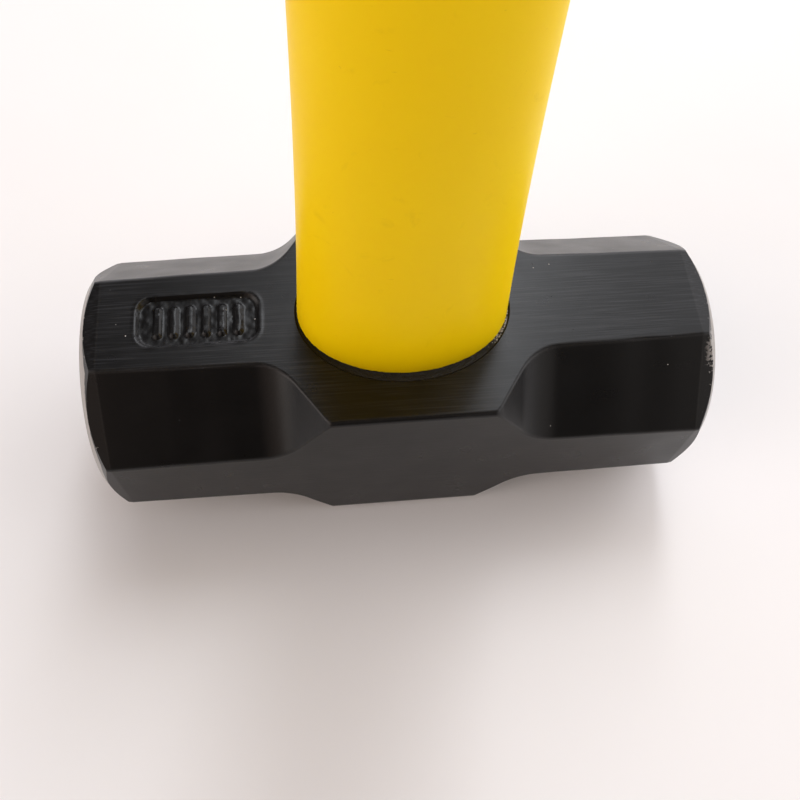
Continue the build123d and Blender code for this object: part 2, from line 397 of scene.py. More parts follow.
def edge_columns():
    """1 on each rounded edge between two sides, fading to nothing beside it."""
    marks = []
    for steps in SIDE_STEPS:
        side = [0.0] * (steps + 1)
        side[0] = side[-1] = 0.5
        marks += side + [1.0] * (ARC_STEPS - 1)
    return np.array(marks)


def ring_faces(bands, rows, around):
    """Four-sided faces between rings of points; a band past the last ring joins the first."""
    faces = []
    for r in range(bands):
        above = (r + 1) % rows
        for c in range(around):
            n = (c + 1) % around
            faces.append((r * around + c, r * around + n, above * around + n, above * around + c))
    return faces


def build_head_mesh(s):
    """The forged head, with marks for its edges and its ground line."""
    stations, rings = head_rows(s)
    right, right_meet = end_rows(rings[-1], s)
    left, left_meet = end_rows(rings[0], s)
    grid = []
    for x, ring in reversed(left):
        grid.append(np.column_stack((-x, ring)))
    for x, ring in zip(stations, rings):
        grid.append(np.column_stack((np.full(len(ring), x), ring)))
    for x, ring in right:
        grid.append(np.column_stack((x, ring)))
    grid = np.array(grid)
    first, last = len(left), len(left) + len(stations)
    top = slice(0, SIDE_STEPS[0] + 1)
    body = grid[first:last, top]
    near = np.abs(body[:, :, 0] + s.panel_centre) < PANEL_ROOM
    body[near, 2] += panel_relief(body[near][:, 0], body[near][:, 1], s)
    grid[first:last, top] = body
    rows, around = grid.shape[:2]
    meet = np.where(grid[:, :, 0] > 0, right_meet[None, :], left_meet[None, :])
    inward = np.clip(s.face_radius - np.hypot(grid[:, :, 1], grid[:, :, 2]), 0, None)
    line = meet + 0.65 * (meet.max() - meet)     # dipped lacquer runs down the bevel at each corner
    past = (np.abs(grid[:, :, 0]) - line + inward * (np.abs(grid[:, :, 0]) > line)) / MM
    past = np.clip(past + EDGE_ZERO, 0, 2 * EDGE_ZERO)
    edge = np.tile(edge_columns(), (rows, 1))
    edge[(first, last - 1), :] = 1.0
    edge[:first] *= 0.5
    edge[last:] *= 0.5
    points = grid.reshape(-1, 3)
    faces = ring_faces(rows - 1, rows, around)
    poles = len(points)
    points = np.vstack((points, (-HEAD_HALF.x, 0, 0), (HEAD_HALF.x, 0, 0)))
    for c in range(around):
        n = (c + 1) % around
        faces.append((poles, n, c))
        faces.append((poles + 1, (rows - 1) * around + c, (rows - 1) * around + n))
    points = points + np.array(HEAD_MIDDLE)
    mesh = bpy.data.meshes.new("hammer_head")
    mesh.from_pydata(points.tolist(), [], faces)
    for name, values in (("past_edge", past), ("edge", edge)):
        layer = mesh.attributes.new(name, "FLOAT", "POINT")
        pole_value = 2 * EDGE_ZERO if name == "past_edge" else 0.0
        layer.data.foreach_set("value", np.append(values.ravel(), (pole_value, pole_value)))
    mesh.update()
    return mesh


# ---------------------------------------------------------------- finishes


def lacquered_steel(s):
    """Drop-forged steel, belt-linished along its length, dipped in satin black lacquer.

    The belt leaves fine lines along the head, and the lacquer softens every edge. The striking
    faces and their bevels are ground after dipping, so bare steel meets the black in a
    scalloped line, where the lacquer has chipped."""
    material, add, surface, place = new_material("lacquered_forged_steel")
    past = add("ShaderNodeAttribute", attribute_name="past_edge").outputs["Fac"]
    edge = add("ShaderNodeAttribute", attribute_name="edge").outputs["Fac"]

    # belt lines: 0.3 mm apart and some 14 mm long
    along = add("ShaderNodeMapping", {"Vector": place, "Scale": (0.07, 3.2, 3.2)})
    belt = add("ShaderNodeTexNoise", {"Vector": along, "Scale": 1.0, "Detail": 3.0})
    # the belt pressed harder in places about 20 mm across
    press = add("ShaderNodeTexNoise", {"Vector": place, "Scale": 1 / 20, "Detail": 1.0})
    pressed = add(
        "ShaderNodeMapRange",
        {"Value": press, "From Min": 0.4, "From Max": 0.62, "To Min": 0.4, "To Max": 1.0},
    )
    # forging left slow waves under the lacquer, and the lacquer its own fine skin
    waves = add("ShaderNodeTexNoise", {"Vector": place, "Scale": 1 / 9, "Detail": 2.0})
    skin = add("ShaderNodeTexNoise", {"Vector": place, "Scale": 1 / 0.6, "Detail": 2.0})
    # pits and dust specks, a few to the square centimetre
    cells = add("ShaderNodeTexVoronoi", {"Vector": place, "Scale": 1 / 3.2, "Randomness": 1.0})
    chosen = add("ShaderNodeSeparateColor", {"Color": cells.outputs["Color"]})
    speck = add(
        "ShaderNodeMapRange",
        {"Value": cells.outputs["Distance"], "From Min": 0.03, "From Max": 0.055, "To Min": 1.0,
         "To Max": 0.0},
    )
    is_pit = add("ShaderNodeMath", {0: chosen.outputs["Red"], 1: 0.82}, operation="GREATER_THAN")
    is_dust = add("ShaderNodeMath", {0: chosen.outputs["Green"], 1: 0.74}, operation="GREATER_THAN")
    pit = add("ShaderNodeMath", {0: speck, 1: is_pit}, operation="MULTIPLY")
    dust = add("ShaderNodeMath", {0: speck, 1: is_dust}, operation="MULTIPLY")

    # the ground line wanders a quarter of a millimetre either way
    ragged = add("ShaderNodeTexNoise", {"Vector": place, "Scale": 1 / 1.4, "Detail": 3.0})
    line = add("ShaderNodeMath", {0: ragged, 1: 0.5, 2: past}, operation="MULTIPLY_ADD")
    ground = add(
        "ShaderNodeMapRange", {"Value": line, "From Min": EDGE_ZERO + 0.2, "From Max": EDGE_ZERO + 0.35}
    )
    # chips: where the far end was knocked, the lacquer came off the rim in flakes
    knock = add("ShaderNodeVectorMath", {0: place, 1: s.knock_place}, operation="DISTANCE")
    near_knock = add(
        "ShaderNodeMapRange",
        {"Value": knock, "From Min": 2.0, "From Max": 7.0, "To Min": 1.0, "To Max": 0.0},
        interpolation_type="SMOOTHSTEP",
    )
    near_rim = add(
        "ShaderNodeMapRange", {"Value": past, "From Min": EDGE_ZERO - 2.6, "From Max": EDGE_ZERO - 0.2}
    )
    flake = add(
        "ShaderNodeTexNoise", {"Vector": place, "Scale": 1 / 0.8, "Detail": 4.0, "Roughness": 0.7}
    )
    loose = add("ShaderNodeMath", {0: near_knock, 1: 0.27, 2: flake}, operation="MULTIPLY_ADD")
    worn = add("ShaderNodeMath", {0: near_rim, 1: 0.10, 2: loose}, operation="MULTIPLY_ADD")
    flaked = add("ShaderNodeMapRange", {"Value": worn, "From Min": 0.735, "From Max": 0.76})
    chip = add("ShaderNodeMath", {0: flaked, 1: near_rim}, operation="MULTIPLY")
    bare = add("ShaderNodeMath", {0: ground, 1: chip}, operation="MAXIMUM")

    # the grinder ran round the faces: rings 0.35 mm apart, broken up along their length
    centred = add("ShaderNodeMapping", {"Vector": place, "Location": (0, 0, -HEAD_MIDDLE.z / MM)})
    axes = add("ShaderNodeSeparateXYZ", {0: centred})
    squares = [add("ShaderNodeMath", {0: axes.outputs[k], 1: 2.0}, operation="POWER") for k in ("Y", "Z")]
    total = add("ShaderNodeMath", {0: squares[0], 1: squares[1]}, operation="ADD")
    radius = add("ShaderNodeMath", {0: total}, operation="SQRT")
    round_by = add("ShaderNodeMath", {0: axes.outputs["Y"], 1: axes.outputs["Z"]}, operation="ARCTAN2")
    polar = add("ShaderNodeCombineXYZ", {"X": radius, "Y": axes.outputs["X"], "Z": round_by})
    rings = add("ShaderNodeMapping", {"Vector": polar, "Scale": (2.8, 2.8, 1.6)})
    turned = add("ShaderNodeTexNoise", {"Vector": rings, "Scale": 1.0, "Detail": 3.0})

    # colour: near-black lacquer, greyer on worn edges and specks; steel with darker patches
    edge_worn = add("ShaderNodeMath", {0: edge, 1: flake}, operation="MULTIPLY")
    greyed = add("ShaderNodeMath", {0: edge_worn, 1: 0.03, 2: dust}, operation="MULTIPLY_ADD")
    # the lacquer is thin over the belt's ridges, on the two sides that were linished
    sides = add("ShaderNodeSeparateXYZ", {0: place})
    from_middle = add(
        "ShaderNodeMath", {0: sides.outputs["Z"], 1: HEAD_MIDDLE.z / MM}, operation="SUBTRACT"
    )
    off_middle = add("ShaderNodeMath", {0: from_middle}, operation="ABSOLUTE")
    linished = add(
        "ShaderNodeMapRange",
        {"Value": off_middle, "From Min": HEAD_HALF.z / MM - 0.7, "From Max": HEAD_HALF.z / MM - 0.2},
    )
    ridges = add("ShaderNodeMapRange", {"Value": belt, "From Min": 0.46, "From Max": 0.66})
    thin = add("ShaderNodeMath", {0: ridges, 1: pressed}, operation="MULTIPLY")
    thinned = add("ShaderNodeMath", {0: thin, 1: linished}, operation="MULTIPLY")
    coat = add("ShaderNodeMix", {0: thinned, 6: s.lacquer, 7: s.lacquer_thin}, data_type="RGBA")
    black = add("ShaderNodeMix", {0: greyed, 6: coat, 7: s.dust}, data_type="RGBA")
    bright = add("ShaderNodeMix", {0: turned, 6: s.steel_dark, 7: s.steel}, data_type="RGBA")
    colour_out = add("ShaderNodeMix", {0: bare, 6: black, 7: bright}, data_type="RGBA")

    gloss = add(
        "ShaderNodeMapRange",
        {"Value": waves, "From Min": 0.3, "From Max": 0.7, "To Min": 0.27, "To Max": 0.33},
    )
    dulled = add("ShaderNodeMath", {0: dust, 1: 0.4, 2: gloss}, operation="MULTIPLY_ADD")
    steel_rough = add("ShaderNodeMapRange", {"Value": turned, "To Min": 0.24, "To Max": 0.42})
    rough_out = add("ShaderNodeMix", {0: bare, 2: dulled, 3: steel_rough})

    # relief, in millimetres
    belt_cut = add("ShaderNodeMath", {0: belt, 1: pressed}, operation="MULTIPLY")
    relief = add("ShaderNodeMath", {0: belt_cut, 1: 0.022, 2: 0.0}, operation="MULTIPLY_ADD")
    for height, depth in ((waves, 0.025), (skin, 0.004), (pit, -0.06), (dust, 0.03), (chip, -0.08)):
        relief = add("ShaderNodeMath", {0: height, 1: depth, 2: relief}, operation="MULTIPLY_ADD")
    crumbled = add("ShaderNodeMath", {0: flake, 1: chip}, operation="MULTIPLY")
    relief = add("ShaderNodeMath", {0: crumbled, 1: 0.35, 2: relief}, operation="MULTIPLY_ADD")
    ringed = add("ShaderNodeMath", {0: turned, 1: ground}, operation="MULTIPLY")
    relief = add("ShaderNodeMath", {0: ringed, 1: 0.015, 2: relief}, operation="MULTIPLY_ADD")
    bump = add("ShaderNodeBump", {"Height": relief, "Distance": MM})
    surface.inputs["Specular IOR Level"].default_value = 0.25
    feed(surface, {"Base Color": colour_out, "Metallic": bare, "Roughness": rough_out, "Normal": bump})
    return material


def moulded_plastic(s):
    """Polypropylene, injection moulded over the rod: a satin skin, warm inside, a little waxy.

    Handling leaves faint smudges and short scuffs all over the jacket."""
    material, add, surface, place = new_material("moulded_polypropylene")
    cloud = add("ShaderNodeTexNoise", {"Vector": place, "Scale": 1 / 26, "Detail": 3.0})
    smudge = add(
        "ShaderNodeTexNoise",
        {"Vector": place, "Scale": 1 / 7, "Detail": 4.0, "Roughness": 0.65, "Distortion": 1.2},
    )
    smudged = add(
        "ShaderNodeMapRange",
        {"Value": smudge, "From Min": 0.62, "From Max": 0.80, "To Min": 0.0, "To Max": 0.14},
    )
    # scuffs: thin lines, some 6 mm long, leaning across the handle
    leaned = add(
        "ShaderNodeMapping", {"Vector": place, "Rotation": (0, 0.7, 0.4), "Scale": (0.16, 1.6, 1.6)}
    )
    scuff = add("ShaderNodeTexNoise", {"Vector": leaned, "Scale": 1.0, "Detail": 2.0})
    scuffed = add(
        "ShaderNodeMapRange",
        {"Value": scuff, "From Min": 0.74, "From Max": 0.80, "To Min": 0.0, "To Max": 0.22},
    )
    tint = add("ShaderNodeMix", {0: cloud, 6: s.plastic, 7: s.plastic_deep}, data_type="RGBA")
    dirt = add("ShaderNodeMath", {0: smudged, 1: scuffed}, operation="MAXIMUM")
    soiled = add("ShaderNodeMix", {0: dirt, 6: tint, 7: s.plastic_soil}, data_type="RGBA")
    gloss = add("ShaderNodeMapRange", {"Value": smudge, "To Min": 0.34, "To Max": 0.50})
    # the mould's spark-eroded skin is 0.3 mm across; the wall sinks in slow waves as it cools
    skin = add("ShaderNodeTexNoise", {"Vector": place, "Scale": 1 / 0.45, "Detail": 2.0})
    sink = add("ShaderNodeTexNoise", {"Vector": place, "Scale": 1 / 14, "Detail": 1.0})
    relief = add("ShaderNodeMath", {0: skin, 1: 0.008, 2: 0.0}, operation="MULTIPLY_ADD")
    for height, depth in ((sink, 0.10), (scuffed, -0.02)):
        relief = add("ShaderNodeMath", {0: height, 1: depth, 2: relief}, operation="MULTIPLY_ADD")
    bump = add("ShaderNodeBump", {"Height": relief, "Distance": MM})
    surface.inputs["Specular IOR Level"].default_value = 0.10
    surface.inputs["Subsurface Weight"].default_value = 0.10
    surface.inputs["Subsurface Radius"].default_value = (0.0022, 0.0014, 0.0004)
    surface.inputs["Subsurface Scale"].default_value = 1.0
    feed(surface, {"Base Color": soiled, "Roughness": gloss, "Normal": bump})
    return material


def trowelled_putty(s):
    """Epoxy putty, pressed in with a thumb and painted over: lumpy, matt, with gritty grains, and pale
    grains crowded on one side as a painted glint.
    """
    material, add, surface, place = new_material("painted_putty")
    lump = add("ShaderNodeTexNoise", {"Vector": place, "Scale": 1 / 0.9, "Detail": 5.0, "Roughness": 0.7})
    grit = add("ShaderNodeTexVoronoi", {"Vector": place, "Scale": 1 / 0.3, "Randomness": 1.0})
    chosen = add("ShaderNodeSeparateColor", {"Color": grit.outputs["Color"]})
    # pale grains crowd round one place, where they are a painted glint of light; elsewhere they thin out
    # to a few real grains
    glint_distance = add("ShaderNodeVectorMath", {0: place, 1: s.glint_place}, operation="DISTANCE")
    glint_threshold = add(
        "ShaderNodeMapRange",
        {"Value": glint_distance, "From Min": 2.0, "From Max": 8.5, "To Min": 0.55, "To Max": 0.998},
    )
    grit_and_glint = add("ShaderNodeMath", {0: chosen.outputs["Red"], 1: glint_threshold}, operation="GREATER_THAN")
    tone = add("ShaderNodeMix", {0: grit_and_glint, 6: s.putty, 7: s.grit}, data_type="RGBA")
    gloss = add("ShaderNodeMix", {0: grit_and_glint, 2: 0.62, 3: 0.25})
    relief = add("ShaderNodeMath", {0: grit_and_glint, 1: 0.2, 2: lump}, operation="MULTIPLY_ADD")
    bump = add("ShaderNodeBump", {"Height": relief, "Distance": 0.35 * MM})
    feed(surface, {"Base Color": tone, "Roughness": gloss, "Normal": bump})
    return material


def pultruded_fibre(s):
    """Glass fibre pulled through resin: pale straw strands that run the length of the rod."""
    material, add, surface, place = new_material("pultruded_glass_fibre")
    drawn = add("ShaderNodeMapping", {"Vector": place, "Scale": (2.6, 2.6, 0.03)})
    strand = add("ShaderNodeTexNoise", {"Vector": drawn, "Scale": 1.0, "Detail": 3.0})
    tone = add("ShaderNodeMix", {0: strand, 6: s.fibre, 7: s.fibre_dark}, data_type="RGBA")
    gloss = add("ShaderNodeMapRange", {"Value": strand, "To Min": 0.35, "To Max": 0.6})
    bump = add("ShaderNodeBump", {"Height": strand, "Distance": 0.04 * MM})
    feed(surface, {"Base Color": tone, "Roughness": gloss, "Normal": bump})
    return material


def cast_resin(s):
    """Epoxy poured into the eye: dark amber, glossy, with small bubbles at its surface."""
    material, add, surface, place = new_material("cast_epoxy")
    cloud = add("ShaderNodeTexNoise", {"Vector": place, "Scale": 1 / 5, "Detail": 3.0})
    bubbles = add("ShaderNodeTexVoronoi", {"Vector": place, "Scale": 1 / 1.8})
    hollow = add(
        "ShaderNodeMapRange", {"Value": bubbles.outputs["Distance"], "From Min": 0.1, "From Max": 0.22}
    )
    tone = add("ShaderNodeMix", {0: cloud, 6: s.resin, 7: s.resin_dark}, data_type="RGBA")
    gloss = add("ShaderNodeMapRange", {"Value": cloud, "To Min": 0.15, "To Max": 0.32})
    bump = add("ShaderNodeBump", {"Height": hollow, "Distance": 0.2 * MM})
    feed(surface, {"Base Color": tone, "Roughness": gloss, "Normal": bump})
    return material


def moulded_rubber(s):
    """Thermoplastic rubber, injection moulded: a matt fine-grained skin that holds a little dust."""
    material, add, surface, place = new_material("moulded_rubber")
    skin = add("ShaderNodeTexNoise", {"Vector": place, "Scale": 1 / 0.5, "Detail": 3.0})
    haze = add("ShaderNodeTexNoise", {"Vector": place, "Scale": 1 / 12, "Detail": 5.0, "Roughness": 0.62})
    dusty = add(
        "ShaderNodeMapRange",
        {"Value": haze, "From Min": 0.42, "From Max": 0.75, "To Min": 0.0, "To Max": 0.45},
    )
    tone = add("ShaderNodeMix", {0: dusty, 6: s.rubber, 7: s.rubber_dust}, data_type="RGBA")
    gloss = add("ShaderNodeMapRange", {"Value": haze, "To Min": 0.48, "To Max": 0.72})
    bump = add("ShaderNodeBump", {"Height": skin, "Distance": 0.03 * MM})
    feed(surface, {"Base Color": tone, "Roughness": gloss, "Normal": bump})
    return material


def painted_board(s):
    """Melamine-faced board: smooth, pale, with the faintest unevenness."""
    material, add, surface, place = new_material("pale_board")
    cloud = add("ShaderNodeTexNoise", {"Vector": place, "Scale": 1 / 60, "Detail": 4.0})
    tone = add("ShaderNodeMix", {0: cloud, 6: s.ground, 7: s.ground_shade}, data_type="RGBA")
    surface.inputs["Roughness"].default_value = 0.7
    feed(surface, {"Base Color": tone})
    return material


# ---------------------------------------------------------------- shapes grown by rule


def open_tree(name, sockets):
    """A geometry tree with named inputs, given as (name, socket type) pairs."""
    tree = bpy.data.node_groups.new(name, "GeometryNodeTree")
    for label, kind in sockets:
        tree.interface.new_socket(name=label, in_out="INPUT", socket_type=kind)
    tree.interface.new_socket(name="Geometry", in_out="OUTPUT", socket_type="NodeSocketGeometry")
    given = tree.nodes.new("NodeGroupInput").outputs
    return tree, partial(add_node, tree), given


def close_tree(tree, geometry, material=None):
    """Ends a tree; a whole piece's tree realizes its instances and sets its material."""
    if material is not None:
        real = add_node(tree, "GeometryNodeRealizeInstances", {"Geometry": geometry})
        geometry = add_node(tree, "GeometryNodeSetMaterial", {"Geometry": real, "Material": material})
    add_node(tree, "NodeGroupOutput", {0: geometry})


def grown(name, tree, values):
    """The plain mesh that a tree makes from its inputs' values."""
    holder = new_object(name + "_holder", bpy.data.meshes.new(name + "_holder"))
    modifier = holder.modifiers.new(name, "NODES")
    modifier.node_group = tree
    for item in tree.interface.items_tree:
        if item.in_out == "INPUT":
            modifier[item.identifier] = values[item.name]
    mesh = evaluated(holder, name)
    bpy.data.objects.remove(holder)
    return mesh


def band_tree():
    """One band of an oval tube, between two half sizes and heights.

    An ease bends the band's side: at +1 it moves fast at first and comes to rest, at -1 it
    starts from rest. Eases of +1 and -1 together make a rounded corner."""
    sockets = [("Around", "NodeSocketInt"), ("Rows", "NodeSocketInt")]
    for end in ("Low", "High"):
        sockets += [(f"{end} {axis}", "NodeSocketFloat") for axis in "XYZ"]
    sockets += [("Size ease", "NodeSocketFloat"), ("Height ease", "NodeSocketFloat")]
    tree, add, given = open_tree("oval_band", sockets)
    columns = add("ShaderNodeMath", {0: given["Around"], 1: 1.0}, operation="ADD")
    rows = add("ShaderNodeMath", {0: given["Rows"], 1: 1.0}, operation="ADD")
    grid = add(
        "GeometryNodeMeshGrid", {"Size X": 1.0, "Size Y": 1.0, "Vertices X": columns, "Vertices Y": rows}
    )
    place = add("GeometryNodeInputPosition")
    split = add("ShaderNodeSeparateXYZ", {0: place}).outputs
    turn = add("ShaderNodeMath", {0: split["X"], 1: 2 * math.pi, 2: math.pi}, operation="MULTIPLY_ADD")
    share = add("ShaderNodeMath", {0: split["Y"], 1: 0.5}, operation="ADD")
    rest = add("ShaderNodeMath", {0: 1.0, 1: share}, operation="SUBTRACT")
    bulge = add("ShaderNodeMath", {0: share, 1: rest}, operation="MULTIPLY")
    eased = {}
    for label in ("Size ease", "Height ease"):
        eased[label] = add(
            "ShaderNodeMath", {0: bulge, 1: given[label], 2: share}, operation="MULTIPLY_ADD"
        )
    parts = {}
    for axis, label, wave in (
        ("X", "Size ease", "COSINE"), ("Y", "Size ease", "SINE"), ("Z", "Height ease", None)
    ):
        size = add("ShaderNodeMix", {0: eased[label], 2: given["Low " + axis], 3: given["High " + axis]})
        if wave:
            swing = add("ShaderNodeMath", {0: turn}, operation=wave)
            size = add("ShaderNodeMath", {0: size, 1: swing}, operation="MULTIPLY")
        parts[axis] = size
    placed = add("ShaderNodeCombineXYZ", parts)
    made = add("GeometryNodeSetPosition", {"Geometry": grid, "Position": placed})
    close_tree(tree, made)
    return tree


def tube_tree(name, stations, band, material):
    """Joins bands into one closed oval tube: a band runs from each station to the next.

    A station is (name, rows, size ease, height ease); its sizes are the tree's inputs."""
    sockets = [("Around", "NodeSocketInt")]
    for station, *_ in stations:
        sockets += [(f"{station} {axis}", "NodeSocketFloat") for axis in "XYZ"]
    sockets += [("Unevenness", "NodeSocketFloat"), ("Uneven below", "NodeSocketFloat")]
    sockets += [("Parting line", "NodeSocketFloat")]
    tree, add, given = open_tree(name, sockets)
    whole = add("GeometryNodeJoinGeometry")
    for (low, *_), (high, rows, size_ease, height_ease) in zip(stations, stations[1:]):
        inputs = {"Around": given["Around"], "Rows": rows, "Size ease": size_ease,
                  "Height ease": height_ease}
        for axis in "XYZ":
            inputs["Low " + axis] = given[f"{low} {axis}"]
            inputs["High " + axis] = given[f"{high} {axis}"]
        feed(whole, {0: add("GeometryNodeGroup", inputs, node_tree=band)})
    closed = add("GeometryNodeMergeByDistance", {"Geometry": whole, "Distance": 1e-6})

    # unevenness of the moulded rim, fading out above it
    place = add("GeometryNodeInputPosition")
    axes = add("ShaderNodeSeparateXYZ", {0: place}).outputs
    bumps = add("ShaderNodeTexNoise", {"Vector": place, "Scale": 1 / (1.3 * MM), "Detail": 1.0})
    fade = add("ShaderNodeMath", {0: given["Uneven below"], 1: axes["Z"]}, operation="SUBTRACT")
    near = add("ShaderNodeMapRange", {"Value": fade, "From Min": -2.2 * MM, "From Max": 0.0})
    swing = add("ShaderNodeMath", {0: bumps, 1: 0.5}, operation="SUBTRACT")
    amount = add("ShaderNodeMath", {0: swing, 1: given["Unevenness"]}, operation="MULTIPLY")
    faded = add("ShaderNodeMath", {0: amount, 1: near}, operation="MULTIPLY")
    normal = add("GeometryNodeInputNormal")
    push = add("ShaderNodeVectorMath", {0: normal, "Scale": faded}, operation="SCALE")
    rough = add("GeometryNodeSetPosition", {"Geometry": closed, "Offset": push})

    # parting line: a hair of flash along both narrow edges, where the mould's halves met
    off_line = add("ShaderNodeMath", {0: axes["Y"]}, operation="ABSOLUTE")
    on_line = add("ShaderNodeMath", {0: off_line, 1: 0.1 * MM}, operation="LESS_THAN")
    side = add("ShaderNodeMath", {0: axes["X"]}, operation="SIGN")
    proud = add("ShaderNodeMath", {0: side, 1: given["Parting line"]}, operation="MULTIPLY")
    lift = add("ShaderNodeMath", {0: proud, 1: on_line}, operation="MULTIPLY")
    shift = add("ShaderNodeCombineXYZ", {"X": lift})
    flashed = add("GeometryNodeSetPosition", {"Geometry": rough, "Offset": shift})
    close_tree(tree, flashed, material)
    return tree


def station_values(places, **others):
    """The tree's input values from {station: (half X, half Y, height)} in millimetres."""
    values = {
        f"{station} {axis}": size * MM
        for station, sizes in places.items()
        for axis, size in zip("XYZ", sizes)
    }
    values.update(others)
    return values


def tread_tree(material):
    """Staggered raised lozenges round an oval grip, row after row."""
    tree, add, given = open_tree(
        "grip_tread",
        [("Half X", "NodeSocketFloat"), ("Half Y", "NodeSocketFloat"),
         ("Bottom", "NodeSocketFloat"), ("Row pitch", "NodeSocketFloat"),
         ("Row pairs", "NodeSocketInt"), ("Around", "NodeSocketInt"),
         ("Lozenge width", "NodeSocketFloat"), ("Lozenge height", "NodeSocketFloat"),
         ("Rise", "NodeSocketFloat"), ("Sunk", "NodeSocketFloat")],
    )
    # one lozenge: a pillow on a square grid, stood on its corner
    grid = add("GeometryNodeMeshGrid", {"Size X": 2.0, "Size Y": 2.0, "Vertices X": 7, "Vertices Y": 7})
    place = add("GeometryNodeInputPosition")
    flat = add("ShaderNodeSeparateXYZ", {0: place}).outputs
    sides = [add("ShaderNodeMath", {0: flat[k]}, operation="ABSOLUTE") for k in ("X", "Y")]
    reach = add("ShaderNodeMath", {0: sides[0], 1: sides[1]}, operation="MAXIMUM")
    steep = add("ShaderNodeMath", {0: reach, 1: 5.0}, operation="POWER")
    dome = add("ShaderNodeMath", {0: 1.0, 1: steep}, operation="SUBTRACT")
    around = add("ShaderNodeMath", {0: flat["X"], 1: flat["Y"]}, operation="ADD")
    up = add("ShaderNodeMath", {0: flat["Y"], 1: flat["X"]}, operation="SUBTRACT")
    halves = []
    for size, value in (("Lozenge width", around), ("Lozenge height", up)):
        quarter = add("ShaderNodeMath", {0: given[size], 1: 0.25}, operation="MULTIPLY")
        halves.append(add("ShaderNodeMath", {0: value, 1: quarter}, operation="MULTIPLY"))
    tall = add("ShaderNodeMath", {0: given["Rise"], 1: given["Sunk"]}, operation="ADD")
    out = add("ShaderNodeMath", {0: dome, 1: tall}, operation="MULTIPLY")
    faces = []
    for over in (out, 0.0):
        height = add("ShaderNodeMath", {0: over, 1: given["Sunk"]}, operation="SUBTRACT")
        at = add("ShaderNodeCombineXYZ", {"X": height, "Y": halves[0], "Z": halves[1]})
        faces.append(add("GeometryNodeSetPosition", {"Geometry": grid, "Position": at}))
    back = add("GeometryNodeFlipFaces", {"Mesh": faces[1]})
    both = add("GeometryNodeJoinGeometry")
    for part in (faces[0], back):
        feed(both, {0: part})
    lozenge = add("GeometryNodeMergeByDistance", {"Geometry": both, "Distance": 1e-6})

    # points evenly spaced round the oval, twice as many as lozenges; alternate ones per row
    circle = add("GeometryNodeCurvePrimitiveCircle", {"Resolution": 256, "Radius": 1.0})
    spread = add("ShaderNodeCombineXYZ", {"X": given["Half X"], "Y": given["Half Y"], "Z": 1.0})
    oval = add("GeometryNodeTransform", {"Geometry": circle, "Scale": spread})
    twice = add("ShaderNodeMath", {0: given["Around"], 1: 2.0}, operation="MULTIPLY")
    points = add("GeometryNodeCurveToPoints", {"Curve": oval, "Count": twice})
    index = add("GeometryNodeInputIndex")
    odd = add("ShaderNodeMath", {0: index, 1: 2.0}, operation="MODULO")
    parted = add("GeometryNodeSeparateGeometry", {"Geometry": points, "Selection": odd}, domain="POINT")
    spot = add("ShaderNodeSeparateXYZ", {0: place}).outputs
    slopes = []
    for axis in "XY":
        square = add("ShaderNodeMath", {0: given["Half " + axis], 1: 2.0}, operation="POWER")
        slopes.append(add("ShaderNodeMath", {0: spot[axis], 1: square}, operation="DIVIDE"))
    facing = add("ShaderNodeMath", {0: slopes[1], 1: slopes[0]}, operation="ARCTAN2")
    turned = add("ShaderNodeCombineXYZ", {"Z": facing})
    rotation = add("FunctionNodeEulerToRotation", {0: turned})
    rings = []
    for k, part in enumerate(("Selection", "Inverted")):
        ring = add(
            "GeometryNodeInstanceOnPoints",
            {"Points": parted.outputs[part], "Instance": lozenge, "Rotation": rotation},
        )
        base = add(
            "ShaderNodeMath", {0: given["Row pitch"], 1: float(k), 2: given["Bottom"]},
            operation="MULTIPLY_ADD",
        )
        start = add("ShaderNodeCombineXYZ", {"Z": base})
        double = add("ShaderNodeMath", {0: given["Row pitch"], 1: 2.0}, operation="MULTIPLY")
        pitch = add("ShaderNodeCombineXYZ", {"Z": double})
        line = add(
            "GeometryNodeMeshLine",
            {"Count": given["Row pairs"], "Start Location": start, "Offset": pitch},
        )
        rings.append(add("GeometryNodeInstanceOnPoints", {"Points": line, "Instance": ring}))
    rows = add("GeometryNodeJoinGeometry")
    for ring in rings:
        feed(rows, {0: ring})
    close_tree(tree, rows, material)
    return tree


# ---------------------------------------------------------------- pieces


def mesh_of(name, points, faces):
    """A mesh from its points and faces."""
    mesh = bpy.data.meshes.new(name)
    mesh.from_pydata(points, [], faces)
    return mesh


def lofted(name, rings):
    """A closed solid through rings of points, all with the same number of points."""
    around = len(rings[0])
    points = [point for ring in rings for point in ring]
    faces = [list(range(around)), list(range(len(points) - 1, len(points) - 1 - around, -1))]
    for r in range(len(rings) - 1):
        for c in range(around):
            n = (c + 1) % around
            faces.append((r * around + c, (r + 1) * around + c, (r + 1) * around + n, r * around + n))
    return mesh_of(name, points, faces)


EYE_PROFILE = (                                  # height from a mouth, half sizes X and Y, mm
    (-1.0, 25.72, 20.12), (2.6, 22.4, 16.8), (None, 20.6, 15.0),
)
EYE_SIDES = 144                                  # faces round the eye
SPIGOT = (20.2, 14.2)                            # jacket's half sizes X and Y inside the eye, mm
SEAT = (16.6, 10.8)                              # and inside the grip


def turns(around):
    """Angles evenly spaced round a circle."""
    return [2 * math.pi * i / around for i in range(around)]


def oval(half_x, half_y, z, around):
    """A level ring of points."""
    return [(half_x * math.cos(t), half_y * math.sin(t), z) for t in turns(around)]


def eye_cutter():
    """The eye's hollow as a closed solid: chamfered mouths and a narrower waist."""
    top = HEAD_TOP / MM
    mouth, throat, waist = EYE_PROFILE
    levels = [
        (top - mouth[0], *mouth[1:]), (top - throat[0], *throat[1:]), (top / 2, *waist[1:]),
        (throat[0], *throat[1:]), (mouth[0], *mouth[1:]),
    ]
    rings = [oval(x * MM, y * MM, z * MM, EYE_SIDES) for z, x, y in levels]
    return new_object("eye_cutter", lofted("eye_cutter", rings))


